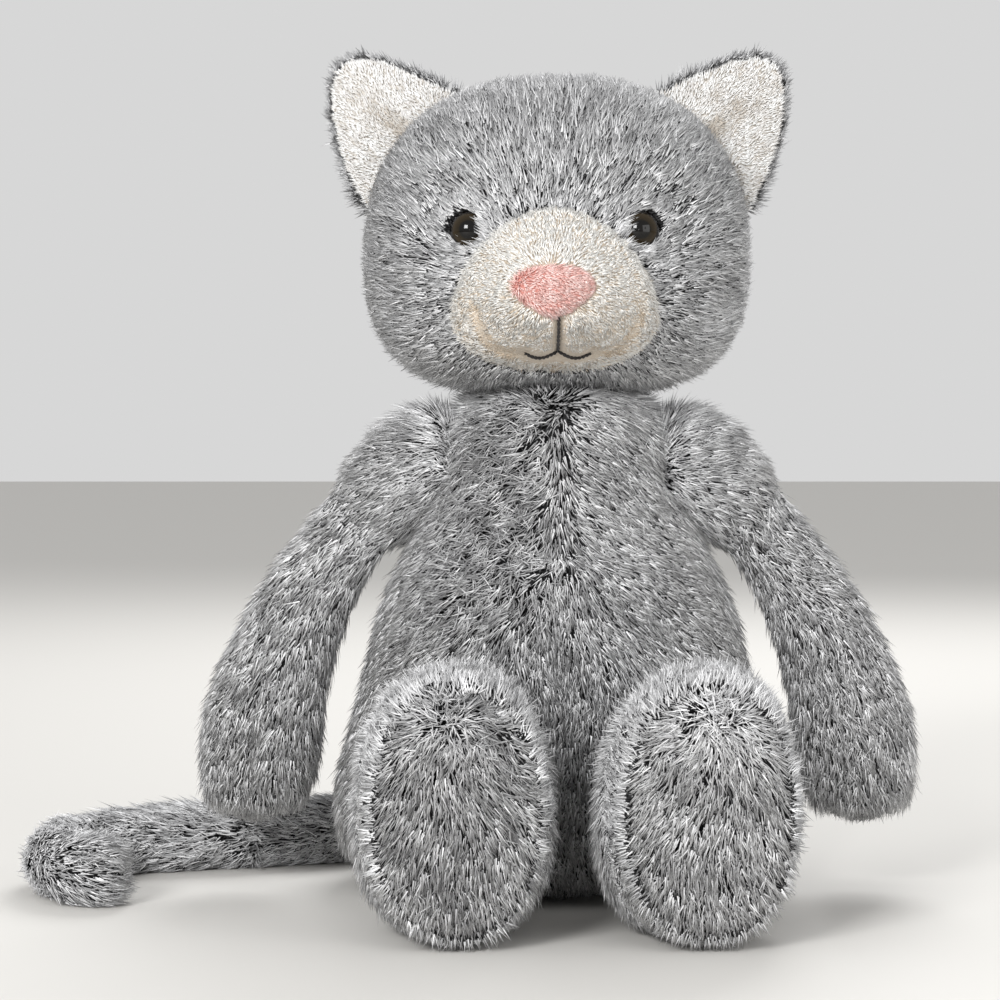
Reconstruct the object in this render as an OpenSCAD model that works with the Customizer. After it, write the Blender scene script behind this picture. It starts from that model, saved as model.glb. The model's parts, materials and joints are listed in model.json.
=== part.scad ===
// Soft plush cat, sitting upright with both legs out in front and its tail
// curled round its right side. +Z is up, the cat faces -Y, and +X is the cat's
// own left. The origin is on the floor, under the middle of the seat. Sizes are
// in millimetres and include half the length of the fur.

/* [Body] */
// Width of the seat at its widest
seat_w = 115; // [105:1:118]
// Depth of the seat, belly to back
seat_d = 92; // [86:1:94]
// Height of the shoulders' ball centres above the floor
shoulder_z = 109; // [106:0.5:111]
// Distance of each shoulder's ball centre from the middle
shoulder_x = 35; // [34:0.5:38]
// Thickness of the fur fabric, backing and pressed pile
cloth = 3; // [2:0.5:4]

/* [Head] */
// Width of the head
head_w = 95; // [90:1:98]
// Depth of the head without its muzzle
head_d = 80; // [74:1:84]
// Height of the head's widest level above the floor
head_z = 160; // [159:0.5:162]
// Height of the head above its widest level
crown_h = 46; // [40:1:50]
// Height of the head below its widest level
jaw_h = 29; // [28:0.5:30]
// How far the head looks to its right when at rest, in degrees
head_turned = 2; // [0:0.5:4]
// Bulge of the muzzle in front of the head
muzzle_out = 12; // [8:0.5:14]
// Diameter of each eye
eye_d = 10; // [8:0.5:11]
// Height of each ear above its base
ear_h = 26; // [22:1:32]
// Length of each ear's base along the head
ear_base = 41; // [36:1:44]

/* [Limbs] */
// Angle at which each arm leaves its shoulder, from straight down
arm_splay = 52; // [50:1:56]
// Length of each arm from its ball centre
arm_len = 103.5; // [96:0.5:106]
// Radius of the paw at the end of each arm
paw_r = 14.8; // [13:0.2:15]
// Width of each foot
foot_w = 43; // [38:1:44]
// Height of each foot
foot_h = 63.5; // [56:0.5:66]
// Distance from each hip's ball centre to the sole
leg_len = 48; // [46:0.5:52]
// Sideways place of the left sole's middle
foot_x_left = 33; // [29:0.5:34]
// Sideways place of the right sole's middle
foot_x_right = 24.5; // [24:0.5:34]

/* [Tail] */
// Radius of the tail
tail_r = 8; // [7:0.5:8.5]

/* [Hidden] */

grey = [0.55, 0.55, 0.56];
cream = [0.88, 0.85, 0.81];
white = [0.91, 0.90, 0.88];
pink = [0.92, 0.65, 0.61];
fibre = [0.96, 0.96, 0.94];

play = 0.4;          // gap between two pieces that turn on each other
nest = 0.25;         // gap between a cover and its stuffing
wall = cloth + nest; // from the outside of a cover to its stuffing

// Torso rings: [height, half width, half depth, middle y], the first three as
// fractions of the neck's height, of seat_w / 2 and of seat_d / 2
neck_top = 127;
TORSO = [
    [0, 0.76, 0.73, 3], [0.03, 0.90, 0.87, 3], [0.10, 1, 0.98, 2],
    [0.22, 0.985, 1, 1], [0.35, 0.90, 0.97, 0], [0.47, 0.84, 0.92, 0],
    [0.57, 0.78, 0.86, 0], [0.66, 0.69, 0.78, 0], [0.77, 0.56, 0.66, 0],
    [0.87, 0.475, 0.575, 0], [0.94, 0.44, 0.55, 0], [1, 0.42, 0.52, 0]
];
torso_rows = 16;
neck_z = 102;        // centre of the head's turning and nodding
neck_r = 31.6;       // dome on the torso's neck
wad_r = 35;          // outside of the wad between the dome and the head
ball_r = 11;         // ball at the root of each arm
shoulder_r = 12.8;   // outside of the wad round that ball
shoulder_room = 2.2; // extra room for that wad in the torso's side
shoulder_y = 2;

hip_r = 12.3;        // ball at the root of each leg
hip = [27.5, -53.8, 22];

// Head shape: exponents of its outline seen from above, over and under its
// widest level
plan_e = 2.3;
crown_e = 2.4;
jaw_e = 2.8;
head_y = -2;

// Muzzle outline: half width, heights over and under its widest level
muzzle_w = 24.5;
muzzle_z = 146;
muzzle_up = 26;
muzzle_down = 13;
muzzle_wall = 1.6;

// ---- helpers ----------------------------------------------------------------

function spow(x, p) = sign(x) * pow(abs(x), p);
function oval(v, a, b, e) = [a * spow(cos(v), 2 / e), b * spow(sin(v), 2 / e)];

// Point at place t along a list of rows, on a smooth curve through them
function smooth(q, t) =
    let (n = len(q) - 1, i = min(floor(t), n - 1), f = t - i,
         a = q[max(i - 1, 0)], b = q[i], c = q[i + 1], d = q[min(i + 2, n)])
    0.5 * (2 * b + (c - a) * f + (2 * a - 5 * b + 4 * c - d) * f * f
           + (3 * b - a - 3 * c + d) * f * f * f);

function tris(a, b, c, d) =
    [for (t = [[a, b, c], [a, c, d]]) if (t[0] != t[1] && t[1] != t[2] && t[0] != t[2]) t];
function flat(grid) = [for (row = grid) each row];

// A piece of cloth between two grids of points with the same rows and columns.
// wrap joins the last column to the first; a tip is a row that is one point.
module sheet(outer, inner, wrap = false, tip0 = false, tip1 = false) {
    n = len(outer);
    m = len(outer[0]);
    o = n * m;
    cols = wrap ? m : m - 1;
    function at(i, j) = (tip0 && i == 0) || (tip1 && i == n - 1) ? i * m : i * m + j % m;
    polyhedron(concat(flat(outer), flat(inner)), [
        for (i = [0 : n - 2], j = [0 : cols - 1])
            each concat(
                tris(at(i, j), at(i + 1, j), at(i + 1, j + 1), at(i, j + 1)),
                tris(o + at(i, j), o + at(i, j + 1), o + at(i + 1, j + 1), o + at(i + 1, j))),
        if (!wrap) for (i = [0 : n - 2])
            each concat(
                tris(at(i, 0), o + at(i, 0), o + at(i + 1, 0), at(i + 1, 0)),
                tris(at(i, m - 1), at(i + 1, m - 1), o + at(i + 1, m - 1), o + at(i, m - 1))),
        if (!tip0) for (j = [0 : cols - 1])
            each tris(at(0, j), at(0, j + 1), o + at(0, j + 1), o + at(0, j)),
        if (!tip1) for (j = [0 : cols - 1])
            each tris(at(n - 1, j), o + at(n - 1, j), o + at(n - 1, j + 1), at(n - 1, j + 1))
    ], convexity = 6);
}

// A filled shape from rings of points; its first and last rings are one point
// each where they are tips, and flat ends otherwise
module filled(rings, tip0 = true, tip1 = true) {
    n = len(rings);
    m = len(rings[0]);
    function at(i, j) = (tip0 && i == 0) || (tip1 && i == n - 1) ? i * m : i * m + j % m;
    polyhedron(flat(rings), [
        for (i = [0 : n - 2], j = [0 : m - 1])
            each tris(at(i, j), at(i + 1, j), at(i + 1, j + 1), at(i, j + 1)),
        if (!tip0) [for (j = [0 : m - 1]) j],
        if (!tip1) [for (j = [m - 1 : -1 : 0]) (n - 1) * m + j]
    ], convexity = 6);
}

// A line of points through a grid's columns, from angle v0 to v1
function turn(v0, v1, n) = [for (j = [0 : n]) v0 + (v1 - v0) * j / n];
function round_about(n) = [for (j = [0 : n - 1]) 360 * j / n];
module mirrored(side) {
    if (side < 0) mirror([1, 0, 0]) children();
    else children();
}

// ---- torso ------------------------------------------------------------------

// Each shoulder's ball and wad press a round hollow into the torso's side
function past_shoulder(p, k) =
    let (d = pow(shoulder_r + shoulder_room + play + k, 2) - pow(p[1] - shoulder_y, 2)
             - pow(p[2] - shoulder_z, 2))
    d <= 0 ? p : [sign(p[0]) * min(abs(p[0]), shoulder_x - sqrt(d)), p[1], p[2]];

// Row of the torso at inset k. Row 0 is the middle of the flat seat, the last
// rows make the dome of the neck.
dome_rows = 4;
function torso_row(i, angles, k) =
    let (t = min(i - 1, torso_rows) * (len(TORSO) - 1) / torso_rows,
         q = smooth(TORSO, max(t, 0)),
         up = max(i - 1 - torso_rows, 0) / dome_rows,
         close = i == 0 ? 0 : 1 - up,
         a = (q[1] * seat_w / 2 - k) * close,
         b = (q[2] * seat_d / 2 - k) * close)
    [for (v = angles)
        let (xy = oval(v, a, b, 2.2),
             dome = neck_z + sqrt(pow(neck_r - k, 2) - min(pow(norm(xy), 2), pow(neck_r - k, 2))),
             z = max(q[0] * neck_top, k))
        past_shoulder([xy[0], xy[1] + q[3], up > 0 || z > dome && i > 3 ? dome : z], k)];
function torso_grid(angles, k) =
    [for (i = [0 : 1 + torso_rows + dome_rows]) torso_row(i, angles, k)];

module torso_panel(v0, v1) {
    color(grey)
        sheet(torso_grid(turn(v0, v1, 6), 0), torso_grid(turn(v0, v1, 6), cloth),
              tip0 = true, tip1 = true);
}
module torso_front_left() { torso_panel(-90, 0); }
module torso_front_right() { torso_panel(-180, -90); }
module torso_back_left() { torso_panel(0, 90); }
module torso_back_right() { torso_panel(90, 180); }

module torso_stuffing() {
    first = 6; // the row that clears the bean bag
    color(fibre)
        filled([for (i = [first : 1 + torso_rows + dome_rows])
                    torso_row(i, round_about(24), wall)],
               tip0 = false);
}

// Flat bag of beans in the seat
function bag_row(lat, k) =
    let (r = pow(cos(lat), 2 / 2.6))
    [for (v = round_about(24))
        let (xy = oval(v, (46 - k) * r, (34 - k) * r, 2.2))
        [xy[0], xy[1] + 3, 14.5 + (10.5 - k) * spow(sin(lat), 2 / 2.6)]];
module bag_half(s) {
    lats = [for (i = [0 : 5]) s * 18 * i];
    mesh = s > 0 ? lats : [for (i = [5 : -1 : 0]) lats[i]];
    color(white)
        sheet([for (q = mesh) bag_row(q, 0)], [for (q = mesh) bag_row(q, 0.8)],
              wrap = true, tip0 = s < 0, tip1 = s > 0);
}
module bean_pouch_top() { bag_half(1); }
module bean_pouch_bottom() { bag_half(-1); }
module seat_beans() {
    color("ivory") filled([for (i = [-5 : 5]) bag_row(18 * i, 1.05)]);
}

// Blank folded label, sewn into the seam down the back, above the tail
label_t = 1.2;
module care_label() {
    color(white) translate([-label_t / 2, 44.2, 26]) cube([label_t, 14, 16]);
}

// Cap of stuffing round a turning centre, between two spheres
module wad(r_in, r_out, reach) {
    color(fibre) intersection() {
        difference() {
            sphere(r = r_out, $fn = 64);
            sphere(r = r_in, $fn = 64);
        }
        cylinder(r = reach, h = r_out + 1, $fn = 64);
    }
}
module neck_wad() { translate([0, 0, neck_z]) wad(neck_r + play, wad_r, 15); }

// ---- head -------------------------------------------------------------------

module at_rest_turn() { rotate([0, 0, -head_turned]) children(); }

// How wide the head is at height z, as a fraction of its width
function head_part(z, k) =
    let (h = (z > head_z ? crown_h : jaw_h) - k, e = z > head_z ? crown_e : jaw_e)
    pow(max(1 - pow(min(abs(z - head_z) / h, 1), e), 0), 1 / e);
// Front of the head at x and z
function head_front(x, z) =
    let (f = head_part(z, 0))
    head_y - head_d / 2 * f * pow(max(1 - pow(min(abs(x) / (head_w / 2 * f), 1), plan_e), 0),
                                  1 / plan_e);

// Row of the head at inset k; its underside is hollow where it turns on the neck
function head_row(lat, angles, k) =
    let (e = lat > 0 ? crown_e : jaw_e, h = (lat > 0 ? crown_h : jaw_h) - k,
         r = pow(cos(lat), 2 / e), z = head_z + h * spow(sin(lat), 2 / e),
         under = wad_r + play + k)
    [for (v = angles)
        let (xy = oval(v, (head_w / 2 - k) * r, (head_d / 2 - k) * r, plan_e),
             x = xy[0], y = xy[1] + head_y * (1 - exp(-r * 8)),
             d = under * under - x * x - y * y)
        [x, y, d > 0 ? max(z, neck_z + sqrt(d)) : z]];
HEAD_LATS = concat([-90, -86.5, -83, -79], [for (i = [0 : 13]) -72 + 12 * i], [90]);
function head_grid(angles, k) = [for (lat = HEAD_LATS) head_row(lat, angles, k)];

eye = [21, 166.7];
eye_at = [eye[0], head_front(eye[0], eye[1]), eye[1]];
eye_dir = let (s = 0.5)
    [(head_front(eye[0] + s, eye[1]) - head_front(eye[0] - s, eye[1])) / (2 * s), -1,
     (head_front(eye[0], eye[1] + s) - head_front(eye[0], eye[1] - s)) / (2 * s)];
// Places children on the head at an eye, with +Z pointing out of the face
module at_eye(side) {
    at_rest_turn() mirrored(side) translate(eye_at)
        rotate([0, acos(eye_dir[2] / norm(eye_dir)), atan2(eye_dir[1], eye_dir[0])])
            children();
}
shank_r = 1.8;
shank_len = 9;
module eye_room(r0, r1, deep) {
    for (side = [-1, 1]) at_eye(side) {
        translate([0, 0, -cloth - 3]) cylinder(r = r0, h = cloth + 6, $fn = 32);
        if (deep > 0) translate([0, 0, -deep]) cylinder(r = r1, h = deep, $fn = 32);
    }
}

// Angles of the head's seams, and the steps between them
face_seam = 20;
face_steps = 8;
back_steps = 9;
HEAD_ROUND = [
    for (j = [0 : face_steps - 1]) -90 + (face_seam + 90) * j / face_steps,
    for (j = [0 : back_steps - 1]) face_seam + (180 - 2 * face_seam) * j / back_steps,
    for (j = [0 : face_steps - 1]) 180 - face_seam + (face_seam + 90) * j / face_steps
];
module head_panel(v0, v1, steps) {
    color(grey) difference() {
        at_rest_turn()
            sheet(head_grid(turn(v0, v1, steps), 0), head_grid(turn(v0, v1, steps), cloth),
                  tip0 = true, tip1 = true);
        eye_room(shank_r + 0.1, 0, 0);
    }
}
module face_left() { head_panel(-90, face_seam, face_steps); }
module face_right() { head_panel(-180 - face_seam, -90, face_steps); }
module head_back() {
    color(grey) at_rest_turn()
        sheet(head_grid(turn(face_seam, 180 - face_seam, back_steps), 0),
              head_grid(turn(face_seam, 180 - face_seam, back_steps), cloth),
              tip0 = true, tip1 = true);
}
module head_stuffing() {
    color(fibre) difference() {
        at_rest_turn() filled(head_grid(HEAD_ROUND, wall));
        eye_room(shank_r + 0.1, washer_r + 0.3, shank_len + 1.5);
    }
}

module eye_bead(side) {
    r = eye_d / 2;
    h = eye_d * 0.4;
    ball = (r * r + h * h) / (2 * h);
    color([0.12, 0.09, 0.05]) at_eye(side) translate([0, 0, 0.1]) {
        intersection() {
            translate([0, 0, h - ball]) sphere(r = ball, $fn = 64);
            cylinder(r = r + 1, h = h + 1, $fn = 48);
        }
        translate([0, 0, -shank_len]) cylinder(r = shank_r, h = shank_len + 0.5, $fn = 32);
    }
}
module eye_left() { eye_bead(1); }
module eye_right() { eye_bead(-1); }

// Washer that holds each eye's shank from inside the fabric
washer_r = 6;
module washer(side) {
    color("whitesmoke") at_eye(side) translate([0, 0, -cloth - 3]) difference() {
        cylinder(r = washer_r, h = 1.6, $fn = 48);
        translate([0, 0, -1]) cylinder(r = shank_r + 0.05, h = 4, $fn = 32);
    }
}
module eye_washer_left() { washer(1); }
module eye_washer_right() { washer(-1); }

// ---- muzzle, nose and mouth -------------------------------------------------

function muzzle_e(z) = z > muzzle_z ? 1.8 : 2.2;
// 0 in the middle of the muzzle and 1 at its seam
function muzzle_rho(x, z) =
    let (e = muzzle_e(z), h = z > muzzle_z ? muzzle_up : muzzle_down)
    pow(pow(abs(x) / muzzle_w, e) + pow(abs(z - muzzle_z) / h, e), 1 / e);
function puff(rho) = pow(max(1 - rho * rho, 0), 0.62);
// Front of the muzzle's cover; lift raises it, less than the cover's own
// thickness sinks it
function muzzle_front(x, z, lift) =
    head_front(x, z) - 0.3 - lift - muzzle_out * puff(muzzle_rho(x, z));
function muzzle_row(rho, lift) =
    [for (v = round_about(28))
        let (z0 = sin(v) > 0 ? muzzle_up : -muzzle_down,
             e = muzzle_e(muzzle_z + z0),
             x = rho * muzzle_w * spow(cos(v), 2 / e),
             z = muzzle_z + rho * z0 * pow(abs(sin(v)), 2 / e))
        [x, muzzle_front(x, z, lift), z]];
MUZZLE_RHO = [0, 0.2, 0.38, 0.55, 0.7, 0.83, 0.93, 1];
module muzzle_cloth() {
    color(cream) at_rest_turn()
        sheet([for (q = MUZZLE_RHO) muzzle_row(q, muzzle_wall)],
              [for (q = MUZZLE_RHO) muzzle_row(q, 0)], wrap = true, tip0 = true);
}
module muzzle_stuffing() {
    color(fibre) at_rest_turn()
        sheet([for (q = [0 : 5]) muzzle_row(MUZZLE_RHO[q], -nest)],
              [for (q = [0 : 5])
                  [for (p = muzzle_row(MUZZLE_RHO[q], 0)) [p[0], head_front(p[0], p[2]) - 0.2, p[2]]]],
              wrap = true, tip0 = true);
}

nose_w = 9.8;
nose_h = 5.8;
nose_z = 151;
module nose_pad() {
    function row(q, lift) = [for (v = round_about(20))
        let (x = q * nose_w * cos(v) * (1 + 0.42 * sin(v)), z = nose_z + q * nose_h * sin(v))
        [x, muzzle_front(x, z, muzzle_wall + lift * (1 - q * q * 0.6)), z]];
    rows = [0, 0.3, 0.6, 0.85, 1];
    color(pink) at_rest_turn()
        sheet([for (q = rows) row(q, 2.2)], [for (q = rows) row(q, 0.15)],
              wrap = true, tip0 = true);
}

// Embroidered mouth: a stem under the nose and a curve to each side
thread_r = 0.4;
stem_top = 144.6;
stem_foot = 137.2;
smile_w = 8.2;
smile_dip = 1.5;
module thread(path) {
    n = len(path);
    color([0.07, 0.06, 0.06]) at_rest_turn()
        filled([for (i = [0 : n - 1])
            let (a = path[max(i - 1, 0)], b = path[min(i + 1, n - 1)],
                 d = (b - a) / norm(b - a), side = [-d[1], d[0]])
            [for (v = round_about(8))
                let (x = path[i][0] + thread_r * cos(v) * side[0],
                     z = path[i][1] + thread_r * cos(v) * side[1])
                [x, muzzle_front(path[i][0], path[i][1], muzzle_wall + 1)
                    - thread_r * sin(v), z]]],
            tip0 = false, tip1 = false);
}
module mouth_stitching() {
    thread([for (i = [0 : 5]) [0, stem_top + (stem_foot + 1 - stem_top) * i / 5]]);
    for (side = [-1, 1])
        thread([for (i = [0 : 8])
            let (f = i / 8, g = side > 0 ? f : 1 - f)
            [side * (0.6 + (smile_w - 0.6) * g), stem_foot - smile_dip * sin(165 * g)]]);
}

// ---- ears -------------------------------------------------------------------

ear_mid = [38.8, 189.8]; // middle of the ear's base, x and z
ear_y = 5;
ear_lean = 52.5;         // slope of the ear's base, down from level
along = [cos(ear_lean), -sin(ear_lean)];
out = [sin(ear_lean), cos(ear_lean)];
ear_skew = -6.2;         // the tip stands nearer the upper end of the base
ear_gap = 1.6;
ear_cup = 5;

// Point of the ear: u across from -1 to 1, w up from 0 to 1, s from the middle
// of its thickness (0) to its back (1) or its front (-1)
function ear_point(u, w, s) =
    let (wide = ear_base / 2 * pow(1 - w, 0.45),
         rise = ear_gap + ear_h * w - 5.4 * u * u * (1 - w),
         skew = ear_skew * pow(w, 1.5) + u * wide,
         thick = (2.4 + 3 * sin(180 * min(w, 0.9))) * (1 - 0.75 * pow(abs(u), 3)) + 0.4)
    [ear_mid[0] + along[0] * skew + out[0] * rise,
     ear_y + ear_cup * (1 - u * u) * w * (1 - w) * 3 + s * thick,
     ear_mid[1] + along[1] * skew + out[1] * rise];
function ear_grid(s) =
    [for (w = [0, 0.12, 0.25, 0.4, 0.55, 0.7, 0.82, 0.91, 0.96, 0.985, 0.997])
        [for (u = [-1, -0.8, -0.5, -0.2, 0.1, 0.4, 0.7, 0.9, 1]) ear_point(u, w, s)]];
module ear_outer(side) {
    color(grey) at_rest_turn() mirrored(side) sheet(ear_grid(0.04), ear_grid(1));
}
module ear_inner(side) {
    color(white) at_rest_turn() mirrored(side) sheet(ear_grid(-1), ear_grid(-0.04));
}
module ear_outer_left() { ear_outer(1); }
module ear_inner_left() { ear_inner(1); }
module ear_outer_right() { ear_outer(-1); }
module ear_inner_right() { ear_inner(-1); }

// ---- arms -------------------------------------------------------------------

arm_end_a = -2;          // the arm's angle at its paw
bend = (arm_splay - arm_end_a) / arm_len;
bend_r = 180 / PI / bend;
ARM = [ // distance down the arm as a fraction, half width, half thickness
    [0, 11, 11], [0.12, 9.6, 9.6], [0.25, 9.6, 9.6], [0.4, 10.5, 10.2], [0.54, 11.9, 11.2],
    [0.68, 13.8, 12.4], [0.8, 14.8, 12.8], [0.89, 13.7, 11.8], [0.955, 9.7, 8.6], [1, 0, 0]
];
arm_rows = 15;
// Ring of an arm at inset k. Rows below 0 are on its ball.
function arm_row(i, angles, k) =
    let (lat = i < 0 ? 90 + i * 22.5 : 0,
         q = smooth(ARM, max(i, 0) * (len(ARM) - 1) / arm_rows),
         grow = paw_r / 14.8,
         s = i < 0 ? -(ball_r - k) * cos(lat) : min(q[0] * arm_len, arm_len - k),
         bulk = i < 0 ? (ball_r - k) * sin(lat) : 1,
         wide = i < 0 ? bulk : max(q[1] * (q[0] > 0.3 ? grow : 1) - k, i == arm_rows ? 0 : 1),
         deep = i < 0 ? bulk : max(q[2] - k, i == arm_rows ? 0 : 1),
         a = arm_splay - bend * max(s, 0), a0 = arm_splay,
         x = shoulder_x + bend_r * (cos(a) - cos(a0)) + min(s, 0) * sin(a0),
         z = shoulder_z - bend_r * (sin(a0) - sin(a)) - min(s, 0) * cos(a0),
         y = shoulder_y - 0.11 * max(s, 0))
    [for (v = angles)
        [x + wide * cos(v) * cos(a), y + deep * sin(v), z + wide * cos(v) * sin(a)]];
function arm_grid(angles, k) = [for (i = [-4 : arm_rows]) arm_row(i, angles, k)];
module arm_cloth(side, v0) {
    color(grey) mirrored(side)
        sheet(arm_grid(turn(v0, v0 + 180, 8), 0), arm_grid(turn(v0, v0 + 180, 8), cloth),
              tip0 = true, tip1 = true);
}
module arm_stuffing(side) {
    color(fibre) mirrored(side) filled(arm_grid(round_about(14), wall));
}
module shoulder_wad(side) {
    mirrored(side) translate([shoulder_x, shoulder_y, shoulder_z]) rotate([0, -90, 0])
        wad(ball_r + play, shoulder_r, 8);
}
module arm_outer_left() { arm_cloth(1, -90); }
module arm_inner_left() { arm_cloth(1, 90); }
module arm_stuffing_left() { arm_stuffing(1); }
module shoulder_wad_left() { shoulder_wad(1); }
module arm_outer_right() { arm_cloth(-1, -90); }
module arm_inner_right() { arm_cloth(-1, 90); }
module arm_stuffing_right() { arm_stuffing(-1); }
module shoulder_wad_right() { shoulder_wad(-1); }

// ---- legs -------------------------------------------------------------------

LEG = [ // distance to the sole as a fraction, half width, lowest z, highest z
    [0, hip_r, hip[2] - hip_r, hip[2] + hip_r], [0.16, 16.5, 3.5, 39],
    [0.34, 19, 1, 43], [0.52, foot_w / 2 - 1, 0.2, foot_h * 0.8],
    [0.70, foot_w / 2, 0, foot_h], [0.85, foot_w / 2 - 0.6, 0.8, foot_h - 0.8],
    [0.95, foot_w / 2 - 3.4, 3.6, foot_h - 3.6]
];
leg_rows = 12;
function leg_row(i, angles, k, foot_x) =
    let (lat = i < 0 ? 90 + i * 22.5 : 0,
         q = smooth(LEG, max(i, 0) * (len(LEG) - 1) / leg_rows),
         ball = (hip_r - k) * sin(lat),
         s = i < 0 ? -(hip_r - k) * cos(lat) : q[0] * leg_len,
         wide = i < 0 ? ball : q[1] - k,
         high = i < 0 ? ball : (q[3] - q[2]) / 2 - k,
         e = 2 + 0.3 * max(q[0], 0))
    [for (v = angles)
        let (p = oval(v, wide, high, e))
        [hip[0] + (foot_x - hip[0]) * max(s, 0) / leg_len + p[0], hip[1] - s,
         (i < 0 ? hip[2] : (q[3] + q[2]) / 2) + p[1]]];
function leg_grid(angles, k, foot_x) =
    [for (i = [-4 : leg_rows]) leg_row(i, angles, k, foot_x)];
module leg_cloth(side, v0, foot_x) {
    color(grey) mirrored(side)
        sheet(leg_grid(turn(v0, v0 + 180, 8), cloth, foot_x),
              leg_grid(turn(v0, v0 + 180, 8), 0, foot_x), tip0 = true);
}
// Sole: an oval closing the front of the foot, just in front of the cover's rim
sole_inset = 4;
module sole(side, foot_x) {
    a = foot_w / 2 - sole_inset;
    b = foot_h / 2 - sole_inset;
    function row(q, y) =
        [for (v = round_about(20))
            let (p = oval(v, q * a, q * b, 2.3))
            [foot_x + p[0], y + 0.4 * q * q, foot_h / 2 + p[1]]];
    front = hip[1] - leg_len;
    rows = [0, 0.35, 0.65, 0.87, 1];
    color(grey) mirrored(side) {
        sheet([for (q = rows) row(q, front)], [for (q = rows) row(q, front + cloth / 2)],
              wrap = true, tip0 = true);
    }
}
module leg_stuffing(side, foot_x) {
    rings = leg_grid(round_about(16), wall, foot_x);
    color(fibre) mirrored(side) filled([for (i = [0 : len(rings) - 2]) rings[i]], tip1 = false);
}
module leg_outer_left() { leg_cloth(1, -90, foot_x_left); }
module leg_inner_left() { leg_cloth(1, 90, foot_x_left); }
module sole_left() { sole(1, foot_x_left); }
module leg_stuffing_left() { leg_stuffing(1, foot_x_left); }
module leg_outer_right() { leg_cloth(-1, -90, foot_x_right); }
module leg_inner_right() { leg_cloth(-1, 90, foot_x_right); }
module sole_right() { sole(-1, foot_x_right); }
module leg_stuffing_right() { leg_stuffing(-1, foot_x_right); }

// ---- tail -------------------------------------------------------------------

// Middle of the tail on the floor, from the seat's back round to its right side
TAIL = [[-4, 56.5], [-20, 57], [-37, 52], [-55, 43], [-73, 34], [-92, 28],
        [-110, 21], [-122, 8], [-126.5, -9], [-123, -25], [-115, -33], [-106, -34]];
tail_knots = [0, 3, 6, 11]; // a joint stands at each but the last
tail_z = 8.2;
tail_root_z = 12;
// How far the cover and the stuffing of a piece stop short of the next piece's
// ball centre
cover_stop = 6.6;
fill_stop = 8.8;

tail_wall = cloth * 0.8;

function tail_at(t) = smooth([for (q = TAIL) [q[0], q[1], 0]], t)
    + [0, 0, t < 2 ? tail_root_z + (tail_z - tail_root_z) * t / 2 : tail_z];
function tail_dir(t) =
    let (d = tail_at(min(t + 0.02, 11)) - tail_at(max(t - 0.02, 0))) d / norm(d);
// Ring round the tail at t, moved s along it, with radius r
function tail_ring(t, s, r, angles) =
    let (c = tail_at(t), d = tail_dir(t), flat_d = [d[0], d[1], 0] / norm([d[0], d[1]]),
         side = [-flat_d[1], flat_d[0], 0])
    [for (v = angles) c + flat_d * s + side * r * cos(v) + [0, 0, r * sin(v)]];
function tail_grid(part, angles, k) =
    let (t0 = tail_knots[part], t1 = tail_knots[part + 1], last = part == 2,
         ball = tail_r - k, steps = last ? 11 : 7,
         pace = norm(tail_at(t1) - tail_at(t1 - 0.4)) / 0.4,
         stop = last ? tail_r : k > tail_wall ? fill_stop : cover_stop,
         t_end = t1 - stop / pace)
    concat(
        [for (i = [0 : 3]) tail_ring(t0, -ball * cos(22.5 * i), ball * sin(22.5 * i), angles)],
        [for (i = [0 : steps]) tail_ring(t0 + (t_end - t0) * i / steps, 0, ball, angles)],
        last
        ? [for (i = [1 : 4]) tail_ring(t_end, ball * sin(22.5 * i), ball * cos(22.5 * i), angles)]
        : []);
module tail_tube(part) {
    color(grey)
        sheet(tail_grid(part, round_about(12), 0), tail_grid(part, round_about(12), tail_wall),
              wrap = true, tip0 = true);
}
module tail_half(part, v0) {
    color(grey)
        sheet(tail_grid(part, turn(v0, v0 + 180, 6), 0),
              tail_grid(part, turn(v0, v0 + 180, 6), tail_wall), tip0 = true, tip1 = true);
}
module tail_stuffing(part) {
    color(fibre) filled(tail_grid(part, round_about(12), tail_wall + nest),
                        tip1 = part == 2);
}
module tail_base_cloth() { tail_tube(0); }
module tail_base_stuffing() { tail_stuffing(0); }
module tail_middle_cloth() { tail_tube(1); }
module tail_middle_stuffing() { tail_stuffing(1); }
module tail_tip_upper() { tail_half(2, 0); }
module tail_tip_lower() { tail_half(2, 180); }
module tail_tip_stuffing() { tail_stuffing(2); }

// ---- the pieces ---------------------------------------------------------------

torso_front_left();
torso_front_right();
torso_back_left();
torso_back_right();
torso_stuffing();
bean_pouch_top();
bean_pouch_bottom();
seat_beans();
care_label();
neck_wad();
face_left();
face_right();
head_back();
head_stuffing();
muzzle_cloth();
muzzle_stuffing();
nose_pad();
mouth_stitching();
eye_left();
eye_right();
eye_washer_left();
eye_washer_right();
ear_outer_left();
ear_inner_left();
ear_outer_right();
ear_inner_right();
shoulder_wad_left();
arm_outer_left();
arm_inner_left();
arm_stuffing_left();
shoulder_wad_right();
arm_outer_right();
arm_inner_right();
arm_stuffing_right();
leg_outer_left();
leg_inner_left();
sole_left();
leg_stuffing_left();
leg_outer_right();
leg_inner_right();
sole_right();
leg_stuffing_right();
tail_base_cloth();
tail_base_stuffing();
tail_middle_cloth();
tail_middle_stuffing();
tail_tip_upper();
tail_tip_lower();
tail_tip_stuffing();
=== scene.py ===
"""Looks of the plush cat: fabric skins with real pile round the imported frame.

Sizes are in millimetres, and MM turns them into the metres that meshes are made
in. CAD_BOX and everything from the stage on are in metres.
The cat faces -Y and +X is its own left.
"""

import json
import math

import bmesh
import bpy
import numpy as np
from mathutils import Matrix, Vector
from mathutils.bvhtree import BVHTree


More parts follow.
